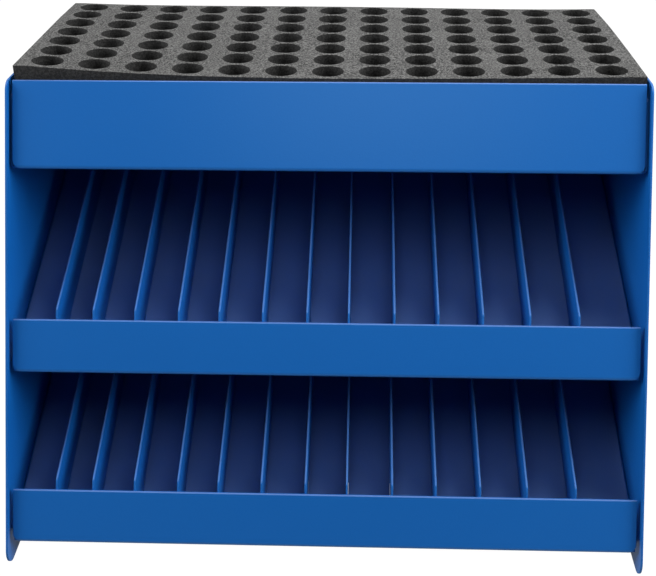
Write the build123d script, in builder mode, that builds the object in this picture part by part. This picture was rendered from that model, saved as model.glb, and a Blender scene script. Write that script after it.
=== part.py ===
# Counter rack for tools: two bent side panels carry a foam-filled tray and two sloping divided shelves.
# Millimetres. X runs across the rack, Y to the back, Z up. The origin is the middle of the footprint.
import os
from math import cos, radians, sin, tan

from build123d import *

os.makedirs("parts", exist_ok=True)

# Overall sizes. The depth follows: the top edges reach back this far from the leaning front
rack_width = 500.0
side_height = 342.0
top_length = 214.9188

# Sheet steel
sheet = 1.5
bend_radius = 1.0
hem_gap = 0.4
hem_length = 8.0

# Side panels
front_lean = 27.8
side_top_fall = 11.0
side_corner_radius = 11.0
rear_flange = 15.0
flange_corner_radius = 5.0

# Fronts of the tray and shelves, measured along the leaning front
lip_recess = 4.4
end_gap = 3.0
lip_corner_radius = 6.5
panel_length = 69.0
lip_length = 42.0

# Shelves: the upper one hangs a fixed drop below the tray's floor
lower_lip_height = 19.7
shelf_drop = 141.6
floor_slope = 18.0
floor_length = 316.0
floor_rear_flange = 15.0
side_flange = 18.0
flange_setback = 12.0

# Dividers: how the lanes share the width of the lip, from left to right
lane_parts = (33.9, 29.2, 33.1, 34.5, 32.1, 34.2, 34.8, 32.7, 35.8, 34.3, 34.8, 36.6, 38.1, 46.9)
divider_height = 33.0
divider_front_gap = 0.4
divider_rear_gap = 3.0
divider_corner_radius = 3.0
divider_rear_chamfer = 3.0
tab_length = 20.0
tab_drop = 1.0
tab_inset = 40.0
slot_clearance = 0.15

# Tray
tray_drop = 61.0
wall_height = 48.0
wall_setback = 4.0
wall_corner_radius = 4.0
rear_gap = 0.3

# Foam insert
foam_thickness = 62.8
foam_side_gap = 3.3
foam_end_gap = 0.4
socket_radius = 12.5
socket_depth = 50.0
socket_pitch_x = 37.0
socket_pitch_y = 28.3
socket_side_margin = 21.5
socket_front_margin = 16.9
socket_back_margin = 14.0

# Sides of the round outlines that repeat often, few to keep the file light
round_sides = 12

# Fasteners
screw_radius = 2.0
screw_hole_clearance = 0.15
thread_clearance = 0.05
head_radius = 3.8
head_top_radius = 2.2
head_rim = 0.6
head_height = 2.2
key_width = 2.5
key_depth = 1.3
nut_radius = 4.0
nut_height = 2.2
screw_end = 0.8
screw_inset = 42.0
screw_drop = 9.0
tray_screw_height = 30.0

# Sizes that follow from the ones above
lean = radians(front_lean)
slope = radians(floor_slope)
inner_face = rack_width / 2 - sheet
front_half_width = inner_face - end_gap
outer_bend = bend_radius + sheet
hem_depth = 2 * sheet + hem_gap
toe_setback = side_corner_radius * (1 - tan(lean) - 1 / cos(lean))
rack_depth = top_length + side_height * tan(lean) + toe_setback
rear_face = rack_depth / 2
foot_y = -rear_face + toe_setback
lip_y = foot_y + lip_recess / cos(lean)
up_lip = Vector(0, sin(lean), cos(lean))
into_lip = Vector(0, cos(lean), -sin(lean))


def front_point(height):
    """The point on the outer face of the lips at this height."""
    return Vector(0, lip_y + height * tan(lean), height)


def inner_corner(height, rise):
    """Where the inside of a lip meets the top of a floor that rises by this angle."""
    half_angle = (radians(90) - lean - rise) / 2
    return front_point(height) + into_lip * sheet + up_lip * (outer_bend - bend_radius / tan(half_angle))


def hem_points(height, length):
    """The folded upper edge of a lip, from the end of the hem round to the inside of the lip."""
    fold = front_point(height) + into_lip * sheet + up_lip * (length - sheet)
    back = fold + into_lip * hem_gap
    return [back - up_lip * hem_length, back, fold]


def section_plane(height, x):
    """The end view of a shelf: X runs up its floor, Y stands square to it."""
    origin = inner_corner(height, slope) + Vector(x, 0, 0)
    return Plane(origin, x_dir=(0, cos(slope), sin(slope)), z_dir=(1, 0, 0))


lane_ends = [sum(lane_parts[:i]) / sum(lane_parts) for i in range(1, len(lane_parts))]
divider_places = [(2 * end - 1) * front_half_width for end in lane_ends]
tab_steps = [tab_inset, floor_length - tab_inset - tab_length]
tray_floor = side_height - tray_drop
upper_lip_height = tray_floor - shelf_drop
tray_height = tray_floor - inner_corner(0, 0).Z
tray_rear = rear_face - sheet - rear_gap


def shelf_screw_points(height):
    """Screw centres of a shelf, in the YZ plane."""
    section = section_plane(height, 0)
    steps = [screw_inset, floor_length - screw_inset]
    points = [section.from_local_coords((step, -screw_drop, 0)) for step in steps]
    return [(point.Y, point.Z) for point in points]


def tray_screw_points():
    """Screw centres of the tray, in the YZ plane."""
    level = tray_height + tray_screw_height
    return [(front_point(level).Y + screw_inset, level), (tray_rear - screw_inset, level)]


def corner_cut(height, length):
    """The area outside the rounded lower corners of a lip, in the plane of its outer face."""
    with BuildSketch(Plane(front_point(height), x_dir=(1, 0, 0), z_dir=into_lip * -1)) as cut:
        with Locations((0, length / 2)):
            Rectangle(rack_width, length + 2 * sheet)
            Rectangle(2 * front_half_width, length, mode=Mode.SUBTRACT)
        inner = cut.vertices().sort_by_distance((0, length / 2))[:4]
        fillet(inner.sort_by(Axis.Y)[:2], lip_corner_radius)
    return cut.sketch


def few_sided(radius, mode=Mode.ADD):
    """A many-sided stand-in, just around the true circle, for a round outline that repeats often."""
    return RegularPolygon(radius, round_sides, major_radius=False, mode=mode)


def save(piece, name):
    """Label a piece and write its file."""
    piece.part.label = name
    export_step(piece.part, f"parts/{name}.step")


# Side panels: one bent sheet each, with a flange along the rear edge
def make_side_panel(hand):
    top_y = foot_y + side_height * tan(lean)
    with BuildPart() as panel:
        with BuildSketch(Plane.XY):
            with BuildLine():
                FilletPolyline(
                    (hand * inner_face, -rear_face),
                    (hand * inner_face, rear_face - sheet),
                    (hand * (rack_width / 2 - rear_flange), rear_face - sheet),
                    radius=bend_radius,
                )
                offset(amount=sheet, side=Side.RIGHT if hand > 0 else Side.LEFT)
            make_face()
        extrude(amount=side_height)
        with BuildSketch(Plane.YZ.offset(-rack_width)) as outline:
            with BuildLine():
                Polyline(
                    (rear_face, 0),
                    (rear_face, side_height - side_top_fall),
                    (rear_face - outer_bend, side_height - side_top_fall),
                    (top_y, side_height),
                    (foot_y, 0),
                    close=True,
                )
            make_face()
            fillet(outline.vertices().sort_by(Axis.X)[:2], side_corner_radius)
        extrude(amount=2 * rack_width, mode=Mode.INTERSECT)
        fillet(panel.edges().filter_by(Axis.Y).sort_by(SortBy.LENGTH)[:2], flange_corner_radius)
        with BuildSketch(Plane.YZ.offset(-rack_width)):
            with Locations(*tray_screw_points()):
                few_sided(screw_radius + screw_hole_clearance)
            with Locations(*shelf_screw_points(upper_lip_height), *shelf_screw_points(lower_lip_height)):
                few_sided(screw_radius + screw_hole_clearance)
        extrude(amount=2 * rack_width, mode=Mode.SUBTRACT)
    return panel


save(make_side_panel(-1), "left_side_panel")
save(make_side_panel(1), "right_side_panel")


# Tray: side walls and floor, then the leaning front panel, floor and rear wall as one folded profile
def make_tray():
    wall_front = front_point(0).Y + (sheet + wall_setback) / cos(lean)
    wall_top = tray_floor + wall_height
    wall_rear = tray_rear - outer_bend
    hem_line = [(point.Y, point.Z) for point in hem_points(tray_height, panel_length)]
    with BuildPart() as tray:
        with BuildSketch(Plane((0, -rear_face, tray_floor), x_dir=(1, 0, 0), z_dir=(0, 1, 0))):
            with BuildLine():
                FilletPolyline(
                    (-inner_face + sheet, -wall_height),
                    (-inner_face + sheet, 0),
                    (inner_face - sheet, 0),
                    (inner_face - sheet, -wall_height),
                    radius=bend_radius,
                )
                offset(amount=sheet, side=Side.LEFT)
            make_face()
        extrude(amount=rack_depth)
        with BuildSketch(Plane.YZ.offset(-rack_width)) as outline:
            with BuildLine():
                Polyline(
                    (wall_rear, tray_floor - sheet),
                    (wall_rear, wall_top),
                    (wall_front + wall_top * tan(lean), wall_top),
                    (wall_front + (tray_floor - sheet) * tan(lean), tray_floor - sheet),
                    close=True,
                )
            make_face()
            fillet(outline.vertices().sort_by(Axis.X)[1], wall_corner_radius)
        extrude(amount=2 * rack_width, mode=Mode.INTERSECT)
        with BuildSketch(Plane.YZ.offset(-front_half_width)):
            with BuildLine():
                hem = Polyline(*hem_line)
                FilletPolyline(
                    hem @ 1,
                    (inner_corner(tray_height, 0).Y, tray_floor),
                    (tray_rear - sheet, tray_floor),
                    (tray_rear - sheet, wall_top),
                    radius=bend_radius,
                )
                offset(amount=sheet, side=Side.RIGHT)
            make_face()
        extrude(amount=2 * front_half_width)
        extrude(corner_cut(tray_height, panel_length), amount=-hem_depth, mode=Mode.SUBTRACT)
        with BuildSketch(Plane.YZ.offset(-rack_width)):
            with Locations(*tray_screw_points()):
                few_sided(screw_radius + screw_hole_clearance)
        extrude(amount=2 * rack_width, mode=Mode.SUBTRACT)
    return tray


save(make_tray(), "top_tray")


# Foam insert: a thick block with blind sockets, laid loose in the tray
# The middle socket is a true circle to measure by; the others have few sides to keep the file light
def make_foam():
    half_width = inner_face - sheet - foam_side_gap
    front = front_point(tray_height).Y + panel_length * sin(lean) + hem_depth / cos(lean) + foam_end_gap
    back = tray_rear - sheet - bend_radius
    column_steps = int(2 * (half_width - socket_side_margin) / socket_pitch_x)
    row_steps = int((back - front - socket_front_margin - socket_back_margin) / socket_pitch_y)
    columns = [socket_pitch_x * (i - column_steps / 2) for i in range(column_steps + 1)]
    rows = [front + socket_front_margin + socket_pitch_y * i for i in range(row_steps + 1)]
    middle = (columns[len(columns) // 2], rows[len(rows) // 2])
    other_sockets = [(x, y) for x in columns for y in rows if (x, y) != middle]
    with BuildPart() as foam:
        with BuildSketch(Plane.XY.offset(tray_floor)):
            with Locations((0, (front + back) / 2)):
                Rectangle(2 * half_width, back - front)
        extrude(amount=foam_thickness)
        with BuildSketch(Plane.XY.offset(tray_floor + foam_thickness)):
            with Locations(middle):
                Circle(socket_radius)
            with Locations(*other_sockets):
                few_sided(socket_radius)
        extrude(amount=-socket_depth, mode=Mode.SUBTRACT)
    return foam


save(make_foam(), "foam_insert")


# Shelves: floor with side flanges, then the lip, floor and rear flange as one folded profile
def make_shelf(height):
    section = section_plane(height, -front_half_width)
    hem_line = [section.to_local_coords(point) for point in hem_points(height, lip_length)]
    corner = inner_corner(height, slope)
    across = Plane(corner, x_dir=(1, 0, 0), z_dir=(0, cos(slope), sin(slope)))
    with BuildPart() as shelf:
        with BuildSketch(across.offset(flange_setback)):
            with BuildLine():
                FilletPolyline(
                    (-inner_face, side_flange),
                    (-inner_face, 0),
                    (inner_face, 0),
                    (inner_face, side_flange),
                    radius=outer_bend,
                )
                offset(amount=sheet, side=Side.LEFT)
            make_face()
        extrude(amount=floor_length - 2 * flange_setback)
        fillet(shelf.edges().filter_by(Axis.X).sort_by(SortBy.LENGTH)[:4], flange_corner_radius)
        with BuildSketch(section):
            with BuildLine():
                hem = Polyline(*[(point.X, point.Y) for point in hem_line])
                front = FilletPolyline(hem @ 1, (0, 0), (floor_length / 2, 0), radius=bend_radius)
                FilletPolyline(
                    front @ 1,
                    (floor_length, 0),
                    (floor_length, -floor_rear_flange),
                    radius=outer_bend,
                )
                offset(amount=sheet, side=Side.RIGHT)
            make_face()
        extrude(amount=2 * front_half_width)
        extrude(corner_cut(height, lip_length), amount=-hem_depth, mode=Mode.SUBTRACT)
        with BuildSketch(Plane(corner, x_dir=(1, 0, 0), z_dir=(0, -sin(slope), cos(slope)))):
            with Locations(*[(x, step + tab_length / 2) for x in divider_places for step in tab_steps]):
                Rectangle(sheet + 2 * slot_clearance, tab_length + 2 * slot_clearance)
        extrude(amount=-2 * sheet, mode=Mode.SUBTRACT)
        with BuildSketch(Plane.YZ.offset(-rack_width)):
            with Locations(*shelf_screw_points(height)):
                few_sided(screw_radius + screw_hole_clearance)
        extrude(amount=2 * rack_width, mode=Mode.SUBTRACT)
    return shelf


save(make_shelf(upper_lip_height), "upper_shelf")
save(make_shelf(lower_lip_height), "lower_shelf")


# Dividers: a flat plate with a front edge along the lip and two tabs that pass through the floor
def make_divider(height, x):
    front = (hem_depth - sheet + divider_front_gap) / cos(lean + slope)
    back = floor_length - divider_rear_gap
    with BuildPart() as divider:
        with BuildSketch(section_plane(height, x)) as outline:
            with BuildLine():
                Polyline(
                    (front, 0),
                    (front + divider_height * tan(lean + slope), divider_height),
                    (back, divider_height),
                    (back, 0),
                    close=True,
                )
            make_face()
            top = outline.vertices().group_by(Axis.Y)[-1].sort_by(Axis.X)
            fillet(top[0], divider_corner_radius)
            chamfer(outline.vertices().group_by(Axis.Y)[-1].sort_by(Axis.X)[-1], divider_rear_chamfer)
            with Locations(*[(step, -sheet - tab_drop) for step in tab_steps]):
                Rectangle(tab_length, sheet + tab_drop, align=(Align.MIN, Align.MIN))
        extrude(amount=sheet / 2, both=True)
    return divider


for number, place in enumerate(divider_places, start=1):
    save(make_divider(upper_lip_height, place), f"upper_divider_{number:02d}")
    save(make_divider(lower_lip_height, place), f"lower_divider_{number:02d}")


# Button-head screw along X: the head starts at X = 0 and the shank runs to -X
def make_screw():
    shank = 2 * sheet + nut_height + screw_end
    with BuildPart() as screw:
        with BuildSketch(Plane.YZ):
            RegularPolygon(screw_radius, round_sides)
        extrude(amount=-shank)
        with BuildSketch(Plane.YZ):
            RegularPolygon(head_radius, round_sides)
        extrude(amount=head_rim)
        with BuildSketch(Plane.YZ.offset(head_rim)):
            RegularPolygon(head_radius, round_sides)
        with BuildSketch(Plane.YZ.offset(head_height)):
            RegularPolygon(head_top_radius, round_sides)
        loft()
        with BuildSketch(Plane.YZ.offset(head_height)):
            RegularPolygon(key_width / 2, 6, major_radius=False)
        extrude(amount=-key_depth, mode=Mode.SUBTRACT)
    return screw


# Clinch nut on the inside of a flange, with its bore along X
def make_nut():
    with BuildPart() as nut:
        with BuildSketch(Plane.YZ):
            RegularPolygon(nut_radius, round_sides)
            few_sided(screw_radius + thread_clearance, Mode.SUBTRACT)
        extrude(amount=-nut_height)
    return nut


def both_sides(item, points, x):
    """Copies of a fastener at these YZ points, the same way out on both sides of the rack."""
    with BuildPart() as group:
        with Locations(*[Location((x, y, z)) for y, z in points]):
            add(item.part)
        with Locations(*[Location((-x, y, z), (0, 0, 180)) for y, z in points]):
            add(item.part)
    return group


joints = {
    "tray": tray_screw_points(),
    "upper_shelf": shelf_screw_points(upper_lip_height),
    "lower_shelf": shelf_screw_points(lower_lip_height),
}
screw = make_screw()
nut = make_nut()
for joint, centres in joints.items():
    save(both_sides(screw, centres, rack_width / 2), f"{joint}_screws")
    save(both_sides(nut, centres, inner_face - sheet), f"{joint}_nuts")
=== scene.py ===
# %% [markdown]
# # A counter rack for tools
#
# The real thing is a rack of bent sheet steel, powder coated blue. Two side panels carry a tray with a
# thick slab of foam on top, and two sloping shelves that thin dividers split into lanes. The sheet parts
# come from the frame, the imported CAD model, because their shapes are right already. This script gives
# them their finish, builds the slab of foam, and sets up the light and the camera.

# %% Load the frame
import math

import bmesh
import bpy
from mathutils import Matrix, Vector


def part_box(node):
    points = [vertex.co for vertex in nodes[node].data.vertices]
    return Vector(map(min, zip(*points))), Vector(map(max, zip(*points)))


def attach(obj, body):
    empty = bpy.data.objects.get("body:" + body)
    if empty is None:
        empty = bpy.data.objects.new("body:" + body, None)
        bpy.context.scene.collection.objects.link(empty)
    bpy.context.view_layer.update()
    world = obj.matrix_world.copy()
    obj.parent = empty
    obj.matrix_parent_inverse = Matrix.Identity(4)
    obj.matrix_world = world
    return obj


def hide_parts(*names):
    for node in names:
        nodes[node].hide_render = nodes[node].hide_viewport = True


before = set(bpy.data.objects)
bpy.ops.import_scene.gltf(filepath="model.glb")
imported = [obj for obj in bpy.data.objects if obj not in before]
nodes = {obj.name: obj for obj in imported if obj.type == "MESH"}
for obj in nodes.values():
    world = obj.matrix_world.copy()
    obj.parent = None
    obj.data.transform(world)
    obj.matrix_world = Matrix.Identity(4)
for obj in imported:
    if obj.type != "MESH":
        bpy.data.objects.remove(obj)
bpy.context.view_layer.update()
MM = 0.001

# %% [markdown]
# ## Writing shaders as sums
#
# A finish is built from nodes, and wiring them one by one hides what they mean. So a small class wraps a
# socket and overloads the arithmetic operators: `1 - wear` then adds the Math node that it needs. Every
# other node comes from one method, `Finish.node`, which sets the node's options before its sockets.


# %% A socket that can be used in arithmetic
class Value:
    def __init__(self, finish, socket):
        self.finish = finish
        self.socket = socket

    def math(self, operation, *others):
        sockets = dict(enumerate((self, *others)))
        return self.finish.node("ShaderNodeMath", {"operation": operation}, sockets)

    def __add__(self, other):
        return self.math("ADD", other)

    def __mul__(self, other):
        return self.math("MULTIPLY", other)

    __radd__ = __add__
    __rmul__ = __mul__

    def __sub__(self, other):
        return self.math("SUBTRACT", other)

    def __rsub__(self, other):
        return self.finish.node("ShaderNodeMath", {"operation": "SUBTRACT"}, {0: other, 1: self})

    def between(self, low, high):
        """0 below low, 1 above high, and a smooth step in between."""
        return self.finish.node("ShaderNodeMapRange", {"interpolation_type": "SMOOTHSTEP"}, {
            "Value": self, "From Min": low, "From Max": high,
        })


print("sockets can be added, subtracted, multiplied and mapped")


# %% A finish: the nodes of one material, or of the world
class Finish:
    def __init__(self, owner, output="ShaderNodeOutputMaterial"):
        owner.use_nodes = True
        self.owner = owner
        self.tree = owner.node_tree
        self.tree.nodes.clear()
        self.output = self.tree.nodes.new(output)

    def node(self, kind, settings=None, sockets=None, out=0):
        made = self.tree.nodes.new(kind)
        for name, value in (settings or {}).items():
            setattr(made, name, value)
        for name, value in (sockets or {}).items():
            if isinstance(value, Value):
                self.tree.links.new(value.socket, made.inputs[name])
            else:
                made.inputs[name].default_value = value
        return Value(self, made.outputs[out])

    def mix(self, factor, first, second):
        """A blend of two colours, which a Mix node takes on sockets 6 and 7 and gives on output 2."""
        return self.node("ShaderNodeMix", {"data_type": "RGBA"}, {0: factor, 6: first, 7: second}, out=2)

    def place(self):
        """Where a point is in its object, in metres."""
        return self.node("ShaderNodeTexCoord", out="Object")

    def normal(self):
        """The mesh's own shading normal, before any bump."""
        return self.node("ShaderNodeNewGeometry", out="Normal")

    def noise(self, scale, detail=2.0, roughness=0.5):
        """Noise in the object's own metres, so that its grain keeps its size on every piece."""
        return self.node("ShaderNodeTexNoise", {"noise_dimensions": "3D"}, {
            "Vector": self.place(), "Scale": scale, "Detail": detail, "Roughness": roughness,
        })

    def rounded(self, radius):
        """Normals as if every edge were rounded by this radius."""
        return self.node("ShaderNodeBevel", {"samples": 6}, {"Radius": radius})

    def bump(self, height, strength, distance, normal=None):
        sockets = {"Height": height, "Strength": strength, "Distance": distance}
        if normal:
            sockets["Normal"] = normal
        return self.node("ShaderNodeBump", None, sockets)

    def facing(self, normal, direction):
        """How far a normal points in this direction: 1 is straight along it."""
        sockets = {0: normal, 1: direction}
        return self.node("ShaderNodeVectorMath", {"operation": "DOT_PRODUCT"}, sockets, out="Value")

    def edges(self, radius):
        """Near 1 where the surface turns a corner, and 0 on flats."""
        return 1 - self.facing(self.rounded(radius), self.normal())

    def surface(self, **sockets):
        """The finished surface: names are the shader's sockets with _ for a space."""
        named = {name.replace("_", " "): value for name, value in sockets.items()}
        return self.show(self.node("ShaderNodeBsdfPrincipled", None, named))

    def show(self, shader):
        """Put a shader on the output, and hand back the material or the world."""
        self.tree.links.new(shader.socket, self.output.inputs["Surface"])
        return self.owner


print("shader helpers ready")

# %% [markdown]
# ## Blue powder coat
#
# Powder is sprayed on dry and baked until it flows, so the coat is tough, even in colour and slightly
# dimpled like orange peel. The dimples are too fine to model, so they are bump from noise with a grain
# of about a millimetre and a half. A folded edge is round, and its roundness catches the light in a thin
# line, so the bump starts from the rounded normals of the Bevel node. The coat thins a little there, which
# makes edges rougher, and edges are painted paler: partly the thin coat, partly a painted highlight along
# each rounded edge. White gloss looks lilac over this blue, so the gloss is tinted. A greyer, warmer tint
# is painted on what faces up and a little forward, the floors of the lanes, as painted shade tone that
# stands in for how these floors look in their shade; it also makes them rougher.

# %% The way that a lane's floor faces
lane_up = (0, -0.31, 0.95)
lean = math.degrees(math.atan2(-lane_up[1], lane_up[2]))
print("a lane's floor leans forward by", round(lean, 1), "degrees")


# %% Powder coat
def powder_coat(name, blue, pale, floor_shade_colour):
    finish = Finish(bpy.data.materials.new(name))
    cloud = finish.noise(6.0, 3.0)
    peel = finish.noise(620.0, 2.0, 0.55)
    grain = finish.noise(2400.0, 1.0)
    # Where the surface turns an edge: the coat thins there, and a painted highlight runs along each rounded
    # edge.
    edge = finish.edges(0.8 * MM).between(0.02, 0.5)
    near_edge = finish.edges(1.8 * MM).between(0.0, 0.15)
    up = finish.facing(finish.normal(), lane_up)
    # Painted shade tint: a greyer, warmer colour on what faces lane_up, the lane floors, standing in for the
    # tone of their shade. It also raises the roughness there and keeps off the edges.
    painted_floor_shade_tint = up.between(0.85, 0.97) * (0.14 + finish.noise(45.0, 4.0, 0.6) * 0.07) * (1 - near_edge)
    shade = [channel * 0.94 for channel in blue]
    colour = finish.mix(cloud.between(0.3, 0.7) * 0.25, (*blue, 1), (*shade, 1))
    # Paler edges: partly the thinner coat, partly a painted highlight along them.
    colour = finish.mix(edge * 0.3, colour, (*pale, 1))
    # Mix in the painted shade tint of the lane floors.
    colour = finish.mix(painted_floor_shade_tint, colour, (*floor_shade_colour, 1))
    return finish.surface(
        Base_Color=colour,
        Roughness=0.42 + (peel - 0.5) * 0.12 + near_edge * 0.40 + painted_floor_shade_tint * 1.5,
        Specular_IOR_Level=0.7,
        Specular_Tint=(0.60, 1.0, 0.92, 1),
        Normal=finish.bump(peel * 0.8 + grain * 0.2, 0.55, 0.12 * MM, finish.rounded(0.9 * MM)),
    )


# The last colour is the painted shade tint of the lane floors; pale is the edges' colour, partly thin coat
# and partly painted highlight.
steel_blue = powder_coat(
    "blue_powder_coat", blue=(0.003, 0.120, 0.465), pale=(0.015, 0.20, 0.66), floor_shade_colour=(0.46, 0.34, 0.34)
)
print("made", steel_blue.name)

# %% [markdown]
# ## Bends and cut edges
#
# A laser-cut edge under powder has a tiny radius, and that radius is what catches the light along every
# divider and lip. The frame's meshes keep their shape, and a Bevel modifier with a narrow width and a
# limit on the angle rounds only the sharp edges.


# %% Give the sheet parts their coat and soft edges
def soften(piece, width, segments=2, angle=40):
    bevel = piece.modifiers.new("soft_edges", "BEVEL")
    bevel.width = width
    bevel.segments = segments
    bevel.limit_method = "ANGLE"
    bevel.angle_limit = math.radians(angle)
    bevel.harden_normals = True
    for polygon in piece.data.polygons:
        polygon.use_smooth = True


def give(piece, material):
    piece.data.materials.clear()
    piece.data.materials.append(material)


fastener_names = [name for name in nodes if name.endswith(("screws", "nuts"))]
sheet_names = [name for name in nodes if name not in fastener_names and name != "foam_insert"]
for name in sheet_names:
    give(nodes[name], steel_blue)
    soften(nodes[name], 0.25 * MM)
print("sheet parts:", len(sheet_names))

# %% [markdown]
# ## Zinc-plated fasteners
#
# Screws and clinch nuts like these come zinc plated: a soft, slightly cloudy metal. Their shapes are
# right in the frame, so they only need the metal and a small radius.


# %% Zinc
def zinc_plate(name, bright, cloudy):
    finish = Finish(bpy.data.materials.new(name))
    cloud = finish.noise(900.0, 3.0, 0.6)
    return finish.surface(
        Base_Color=finish.mix(cloud.between(0.35, 0.65), (*bright, 1), (*cloudy, 1)),
        Metallic=1.0,
        Roughness=0.30 + cloud * 0.15,
        Normal=finish.bump(finish.noise(2600.0, 1.0), 0.15, 0.05 * MM),
    )


zinc = zinc_plate("zinc_plate", bright=(0.52, 0.53, 0.55), cloudy=(0.40, 0.41, 0.44))
for name in fastener_names:
    give(nodes[name], zinc)
    soften(nodes[name], 0.12 * MM, segments=1, angle=30)
print("fastener groups:", len(fastener_names))

# %% [markdown]
# ## The slab of foam
#
# The insert is a slab of closed-cell foam with 13 by 7 round sockets. Foam never lies quite flat: this
# one lifts at its left front corner and dips in the middle, and where the tray's walls end its sides
# spread a little. It could be a box cut with booleans, but a warped slab needs an even mesh, so each
# socket gets a cell of its own. A cell is a ring of faces from the socket's rim out to the cell's
# border, and neighbours share the points along that border.

# %% Sizes of the slab
foam_low, foam_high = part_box("foam_insert")
socket_radius = 12.5 * MM
socket_depth = 50.0 * MM
pitch_x, pitch_y = 37.0 * MM, 28.3 * MM
columns, rows = 13, 7
front_margin = 16.9 * MM
column_x = [(i - (columns - 1) / 2) * pitch_x for i in range(columns)]
row_y = [foam_low.y + front_margin + i * pitch_y for i in range(rows)]
print("slab:", [round(v, 4) for v in foam_low], [round(v, 4) for v in foam_high])


# %% Two small helpers for shapes
def ramp(value, low, high):
    """0 below low, 1 above high, and straight in between."""
    return min(max((value - low) / (high - low), 0), 1)


def curve(x, *factors):
    """A polynomial in x, with the constant first."""
    return sum(factor * x**power for power, factor in enumerate(factors))


print("three quarters up a ramp:", ramp(7.5, 0, 10))

# %% [markdown]
# ## The bow
#
# Two curves across the width give the bow: how far the front row of sockets lifts, and how that changes
# up to the back row. The last rows drop a little more. The bow fades out towards the underside, which
# lies flat in the tray, and the sides spread or draw in only above the tray's walls.

# %% How far the top of the slab rises
curve_end = 1.06
drop, drop_from, drop_to = 1.2, 0.75, 0.75 + 1 / 3


def rise(x, y):
    """The slab's bow in metres: u runs from the left socket column to the right, v from front to back."""
    u = min(max(x / column_x[-1], -curve_end), curve_end)
    v = (y - row_y[0]) / (row_y[-1] - row_y[0])
    front = curve(u, -0.83, -0.46, 4.46, -2.02, 0.29)
    change = curve(u, -0.63, -0.76, -6.11, 1.61, 1.89)
    return (front + v * change - drop * ramp(v, drop_from, drop_to)) * MM


print("left front corner rises", round(rise(foam_low.x, foam_low.y) / MM, 1), "mm")

# %% Bend a point of the slab
wall_height = 48 * MM
spread_height = 53 * MM
bow_height = 20 * MM
rim_x = column_x[-1] + socket_radius
left_spread, right_spread = 1.4 * MM, 2.7 * MM
left_draw, right_draw = 1.9 * MM, 5.0 * MM
right_belly = 0.8 * MM


def warped(x, y, z):
    """Where a point of the straight slab ends up."""
    along = ramp(y, foam_low.y, foam_high.y)
    if x > 0:
        side = right_spread - right_draw * along + right_belly * math.sin(math.pi * along)
    else:
        side = left_spread - left_draw * along
    above = ramp(z, foam_low.z + wall_height, foam_low.z + spread_height)
    spread = side * ramp(abs(x), rim_x, foam_high.x) * above
    lifted = z + rise(x, y) * ramp(z, foam_low.z, foam_low.z + bow_height)
    return (x + (spread if x > 0 else -spread), y, lifted)


print("the back edge draws in by", round((right_draw - right_spread) / MM, 1), "mm on the right")

# %% Cells of the slab's top
side_steps = 12
around = 4 * side_steps


def steps_between(low, high):
    """The points that split a cell's side, without the last one."""
    return [low + (high - low) * k / side_steps for k in range(side_steps)]


def borders_between(places, low, high):
    middles = [(a + b) / 2 for a, b in zip(places, places[1:])]
    return [low, *middles, high]


cell_x = borders_between(column_x, foam_low.x, foam_high.x)
cell_y = borders_between(row_y, foam_low.y, foam_high.y)
print("cells:", columns * rows, "points round each:", around)


# %% Points round a cell, a socket and the whole slab
def loop_round(front_x, back_x, right_y, left_y):
    """Four sides joined anticlockwise from the front left corner; each starts at its own corner."""
    front = [(x, right_y[0]) for x in front_x]
    right = [(back_x[0], y) for y in right_y]
    back = [(x, left_y[0]) for x in back_x]
    left = [(front_x[0], y) for y in left_y]
    return [*front, *right, *back, *left]


def cell_border(i, j):
    """Points round a cell."""
    x0, x1, y0, y1 = cell_x[i], cell_x[i + 1], cell_y[j], cell_y[j + 1]
    front_x, back_x = steps_between(x0, x1), steps_between(x1, x0)
    right_y, left_y = steps_between(y0, y1), steps_between(y1, y0)
    return loop_round(front_x, back_x, right_y, left_y)


def socket_circle(i, j):
    """Points round a socket, one for each point of its cell's border."""
    angles = [math.radians(-135 + 360 * k / around) for k in range(around)]
    x, y = column_x[i], row_y[j]
    return [(x + socket_radius * math.cos(a), y + socket_radius * math.sin(a)) for a in angles]


def slab_outline():
    """The border points along the slab's four sides, each once."""
    along_x = [x for low, high in zip(cell_x, cell_x[1:]) for x in steps_between(low, high)]
    along_y = [y for low, high in zip(cell_y, cell_y[1:]) for y in steps_between(low, high)]
    back_x = [*along_x[1:], cell_x[-1]][::-1]
    left_y = [*along_y[1:], cell_y[-1]][::-1]
    return loop_round(along_x, back_x, along_y, left_y)


print("points round the slab:", len(slab_outline()))


# %% A mesh that bends its points and shares them
class BentMesh:
    def __init__(self):
        self.bm = bmesh.new()
        self.made = {}

    def point(self, x, y, z):
        key = (round(x, 7), round(y, 7), round(z, 7))
        if key not in self.made:
            self.made[key] = self.bm.verts.new(warped(x, y, z))
        return self.made[key]

    def ring(self, places, z):
        return [self.point(x, y, z) for x, y in places]

    def band(self, outer, inner):
        """A closed band of four-sided faces between two rings."""
        count = len(outer)
        for k in range(count):
            following = (k + 1) % count
            self.bm.faces.new((outer[k], outer[following], inner[following], inner[k]))

    def cap(self, ring):
        self.bm.faces.new(ring)

    def finished(self, name):
        mesh = bpy.data.meshes.new(name)
        self.bm.to_mesh(mesh)
        self.bm.free()
        return mesh


print("mesh helper ready")

# %% Where rings go, by depth in a socket and by height on the sides
ring_depths = (12 * MM, 30 * MM, socket_depth)
ring_heights = (spread_height, wall_height, bow_height, 0.0)
print("rings in a socket:", len(ring_depths), "rings on the sides:", len(ring_heights))


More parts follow.
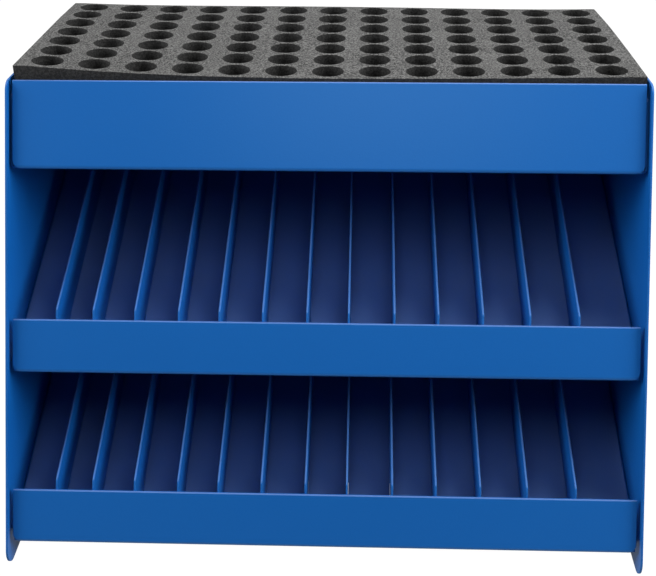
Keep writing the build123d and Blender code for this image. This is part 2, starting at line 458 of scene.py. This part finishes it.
# %% Build the slab
def add_cell(shape, i, j):
    """A cell's flat top, from its border in to the socket's rim, and then the socket's wall and floor."""
    border, circle = cell_border(i, j), socket_circle(i, j)
    ring = shape.ring(border, foam_high.z)
    for share in (0.5, 1.0):
        places = [(x + (u - x) * share, y + (v - y) * share) for (x, y), (u, v) in zip(border, circle)]
        inner = shape.ring(places, foam_high.z)
        shape.band(ring, inner)
        ring = inner
    for depth in ring_depths:
        inner = shape.ring(circle, foam_high.z - depth)
        shape.band(ring, inner)
        ring = inner
    shape.cap(ring)


def add_sides(shape):
    """The slab's sides, from the top down, and its underside."""
    outline = slab_outline()
    ring = shape.ring(outline, foam_high.z)
    for height in ring_heights:
        lower = shape.ring(outline, foam_low.z + height)
        shape.band(lower, ring)
        ring = lower
    shape.cap(ring[::-1])


shape = BentMesh()
for i in range(columns):
    for j in range(rows):
        add_cell(shape, i, j)
add_sides(shape)
slab = bpy.data.objects.new("foam_slab", shape.finished("foam_slab"))
bpy.context.scene.collection.objects.link(slab)
soften(slab, 0.35 * MM, segments=2, angle=50)
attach(slab, "foam")
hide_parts("foam_insert")
print("slab faces:", len(slab.data.polygons))

# %% [markdown]
# ## Foam
#
# Closed-cell foam is matte and very dark grey. Its cut face shows burst cells, a fine pepper of pale
# specks and dark pits, and it scuffs to a paler grey. A layer of cells gives the pits, fine noise the
# specks and soft noise the scuffs. Away from the top the specks are painted fainter, so the sides and the
# sockets' walls stay darker than the top as painted shade, and the scuffs, which are wear, fade out there.


# %% Foam finish
def closed_cell_foam(name, skin, burst, pit):
    finish = Finish(bpy.data.materials.new(name))
    cells = finish.node("ShaderNodeTexVoronoi", {"feature": "F1"}, {"Vector": finish.place(), "Scale": 560.0})
    specks = finish.noise(640.0, 3.0, 0.85)
    scuffs = finish.noise(28.0, 4.0, 0.65).between(0.35, 0.75)
    pits = cells.between(0.1, 0.5)
    # Painted shade: the specks fade away from the top, so the sides and socket walls stay darker than the
    # top. The scuffs stay on the top as wear.
    up = finish.facing(finish.normal(), (0, 0, 1)).between(0.3, 0.9)
    colour = finish.mix(specks.between(0.46, 0.55) * (0.2 + up * 0.8), (*skin, 1), (*burst, 1))
    colour = finish.mix(scuffs * up * 0.25, colour, (*burst, 1))
    colour = finish.mix((1 - pits) * 0.8, colour, (*pit, 1))
    return finish.surface(
        Base_Color=colour,
        Roughness=0.88 - scuffs * 0.08,
        Normal=finish.bump(pits * 0.6 + specks * 0.4, 0.7, 0.3 * MM),
    )


dark_foam = closed_cell_foam(
    "dark_foam", skin=(0.008, 0.008, 0.008), burst=(0.150, 0.149, 0.146), pit=(0.004, 0.004, 0.004)
)
give(slab, dark_foam)
print("foam finish on", slab.name)

# %% [markdown]
# ## Floor and backdrop
#
# The floor is pale and plain. The camera sees it as white, also through anything clear, and reflections
# see part of that white. All other rays see a matte grey that throws a little light back up at the rack.
# Part of what the camera sees stays lit by the lamps, so a soft shadow is left on it.

# %% How white the floor looks, and to whom
white_share = 0.85
reflected_share = 0.4
white_strength = 1.19
matte_grey = (0.35, 0.35, 0.35, 1)
print("white for the camera:", white_share, "and for reflections:", round(white_share * reflected_share, 2))


# %% Floor
def paper(name):
    finish = Finish(bpy.data.materials.new(name))
    camera_ray = finish.node("ShaderNodeLightPath", out="Is Camera Ray")
    glossy_ray = finish.node("ShaderNodeLightPath", out="Is Glossy Ray")
    clear_ray = finish.node("ShaderNodeLightPath", out="Is Transmission Ray")
    seen = camera_ray.math("MAXIMUM", glossy_ray * reflected_share).math("MAXIMUM", clear_ray)
    matte = finish.node("ShaderNodeBsdfDiffuse", None, {"Color": matte_grey})
    white = finish.node("ShaderNodeEmission", None, {"Color": (1, 1, 1, 1), "Strength": white_strength})
    return finish.show(finish.node("ShaderNodeMixShader", None, {0: seen * white_share, 1: matte, 2: white}))


reach = 6.0
corners = [(-reach, -reach, 0), (reach, -reach, 0), (reach, reach, 0), (-reach, reach, 0)]
floor_mesh = bpy.data.meshes.new("floor")
floor_mesh.from_pydata(corners, [], [(0, 1, 2, 3)])
floor = bpy.data.objects.new("floor", floor_mesh)
bpy.context.scene.collection.objects.link(floor)
give(floor, paper("white_paper"))
print("floor reaches", reach, "m")

# %% World
lit_strength, shown_strength = 0.02, 1.05
studio = Finish(bpy.data.worlds.new("studio"), "ShaderNodeOutputWorld")
ray = studio.node("ShaderNodeLightPath", out="Is Camera Ray")
lit = studio.node("ShaderNodeBackground", None, {"Color": (1, 1, 1, 1), "Strength": lit_strength})
shown = studio.node("ShaderNodeBackground", None, {"Color": (1, 1, 1, 1), "Strength": shown_strength})
choice = studio.node("ShaderNodeMixShader", None, {0: ray, 1: lit, 2: shown})
bpy.context.scene.world = studio.show(choice)
print("world lights with strength", lit_strength)

# %% [markdown]
# ## Light
#
# The picture shows where the lamps stood. The dividers and the left panel are bright on their right
# faces, so the main lamp is on the right, and one nearly as strong is on the left. The bays are dark in
# their depth, so little light comes from straight ahead. The top of the foam and the fronts are bright,
# so a wide lamp hangs high behind. A small lamp close in front and high up lights the lanes and leaves
# the soft gloss on the tray.


# %% Lamps
middle = Vector((0, -0.05, 0.17))


def softbox(name, height, turn, distance, width, depth, power):
    """A soft lamp that aims at the rack: height and turn are angles, and a turn of 0 is straight ahead."""
    up, sideways = math.radians(height), math.radians(turn)
    away = Vector((math.sin(sideways) * math.cos(up), -math.cos(sideways) * math.cos(up), math.sin(up)))
    lamp = bpy.data.lights.new(name, "AREA")
    lamp.shape = "RECTANGLE"
    lamp.size = width
    lamp.size_y = depth
    lamp.energy = power
    box = bpy.data.objects.new(name, lamp)
    box.location = middle + away * distance
    box.rotation_euler = away.to_track_quat("Z", "Y").to_euler()
    box.visible_camera = False
    bpy.context.scene.collection.objects.link(box)
    return box


lamps = [
    softbox("lamp_right", height=24, turn=77, distance=1.6, width=0.8, depth=0.8, power=20),
    softbox("lamp_left", height=25, turn=-78, distance=1.6, width=0.8, depth=0.8, power=19.5),
    softbox("lamp_behind", height=68, turn=152, distance=1.2, width=1.5, depth=0.6, power=16.5),
    softbox("lamp_front", height=59, turn=8, distance=0.56, width=0.36, depth=0.40, power=0.50),
]
print("lamps:", len(lamps), "watts:", sum(lamp.data.energy for lamp in lamps))

# %% [markdown]
# ## Camera
#
# The camera stands about 0.83 m in front of the rack's middle and 0.64 m up, and looks down at it by
# 30 degrees. Its focal length follows from a fit of the grid of sockets: 1104 pixels on a frame that is
# 656 pixels wide.

# %% Camera
frame_width = 656
focal_pixels = 1104.3
camera_place = (28.0 * MM, -832.2 * MM, 636.5 * MM)
turned, looking_down, rolled = 1.966, 30.414, -0.281
camera_data = bpy.data.cameras.new("camera")
camera_data.sensor_width = 36.0
camera_data.lens = focal_pixels * camera_data.sensor_width / frame_width
camera = bpy.data.objects.new("camera", camera_data)
turn = Matrix.Rotation(math.radians(turned), 4, "Z")
tilt = Matrix.Rotation(math.radians(90 - looking_down), 4, "X")
roll = Matrix.Rotation(math.radians(rolled), 4, "Z")
camera.matrix_world = Matrix.Translation(camera_place) @ turn @ tilt @ roll
bpy.context.scene.collection.objects.link(camera)
bpy.context.scene.camera = camera
bpy.context.scene.view_settings.view_transform = "Standard"
print("lens", round(camera_data.lens, 2), "mm")
